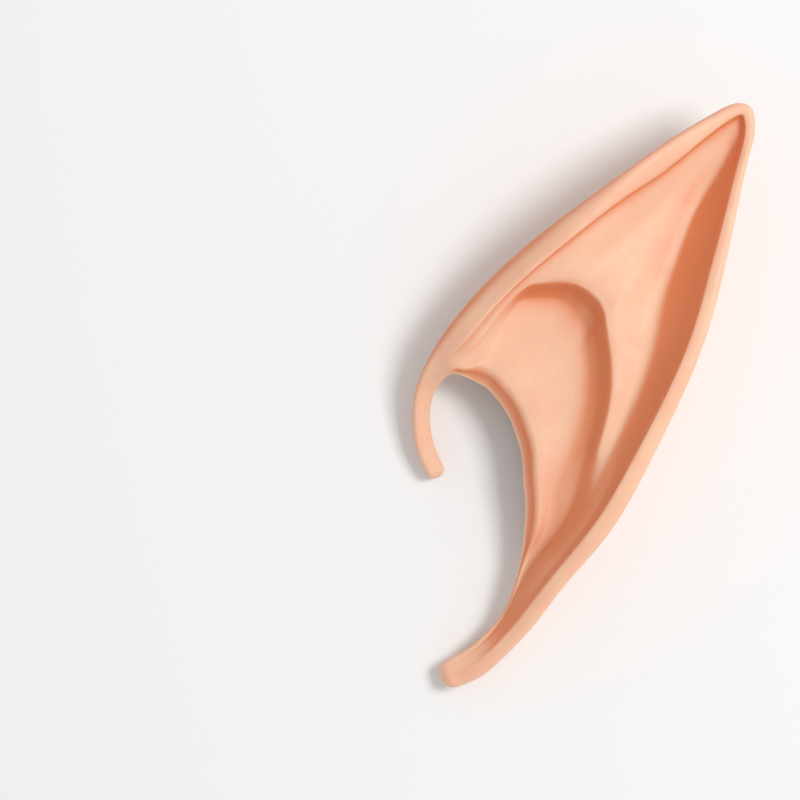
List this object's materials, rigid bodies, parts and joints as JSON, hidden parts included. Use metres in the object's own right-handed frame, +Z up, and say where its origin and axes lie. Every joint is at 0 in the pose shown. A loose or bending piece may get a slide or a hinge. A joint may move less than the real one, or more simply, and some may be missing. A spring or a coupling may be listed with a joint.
{
  "type": "elf ear tip",
  "caption": "Pointed latex ear tip: a hollow C-shaped sleeve with rolled rim, inner ridge and bowl, open along its notch to slip over the top of a wearer's ear.",
  "frame": {"origin": "middle of the bounding box's base, on the surface that the ear tip lies on", "axes": "+X from the hook towards the pointed side, +Y from the tail end to the pointed tip, +Z up out of the front skin"},
  "size_m": [0.0654, 0.1118, 0.024],
  "materials": {
    "latex_skin": "cast latex in a peach skin tone, satin, slightly translucent, deeper orange in the folds"
  },
  "bodies": {
    "root": {"ear_tip": "latex_skin"}
  },
  "joints": []
}
